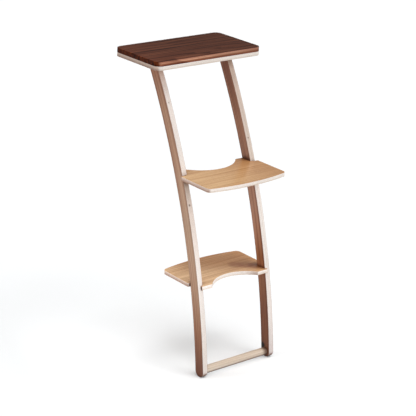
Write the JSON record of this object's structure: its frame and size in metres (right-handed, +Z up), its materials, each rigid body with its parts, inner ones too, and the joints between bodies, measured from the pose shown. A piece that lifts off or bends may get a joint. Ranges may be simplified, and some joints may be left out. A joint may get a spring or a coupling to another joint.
{
  "type": "ladder shelf",
  "caption": "Narrow shelf that leans on a wall: curved rails carry a top and staggered shelves with arc cut-outs, tied by a foot rung.",
  "frame": {"origin": "centre of the bounding box's bottom face, on the floor between the feet and the wall side", "axes": "+Z up, +Y towards the wall that it leans on, X across its width, from rail to rail"},
  "size_m": [0.4, 0.4386, 0.96],
  "materials": {
    "walnut": "oiled solid walnut",
    "birch_ply": "sanded plywood with its plies on the edges",
    "walnut_veneer": "oiled brown veneer",
    "oak_veneer": "matt lacquered oak veneer",
    "rung_wood": "sanded beech dowel",
    "dowel_wood": "plain beech dowel",
    "pad_rubber": "matt black non-slip rubber",
    "bumper": "soft grey bumper",
    "screw_steel": "yellow zinc plated"
  },
  "bodies": {
    "root": {"top_board": "walnut", "top_plate": "birch_ply", "left_rail_core": "birch_ply", "right_rail_core": "birch_ply", "left_rail_outer_veneer": "walnut_veneer", "left_rail_inner_veneer": "walnut_veneer", "right_rail_outer_veneer": "walnut_veneer", "right_rail_inner_veneer": "walnut_veneer", "middle_shelf_core": "birch_ply", "middle_shelf_top_veneer": "oak_veneer", "middle_shelf_bottom_veneer": "oak_veneer", "lower_shelf_core": "birch_ply", "lower_shelf_top_veneer": "oak_veneer", "lower_shelf_bottom_veneer": "oak_veneer", "foot_rung": "rung_wood", "left_foot_pad": "pad_rubber", "right_foot_pad": "pad_rubber", "wall_pads": "bumper", "middle_shelf_dowels": "dowel_wood", "lower_shelf_dowels": "dowel_wood", "rail_top_dowels": "dowel_wood", "rail_top_screws": "screw_steel", "board_screws": "screw_steel"}
  },
  "joints": []
}
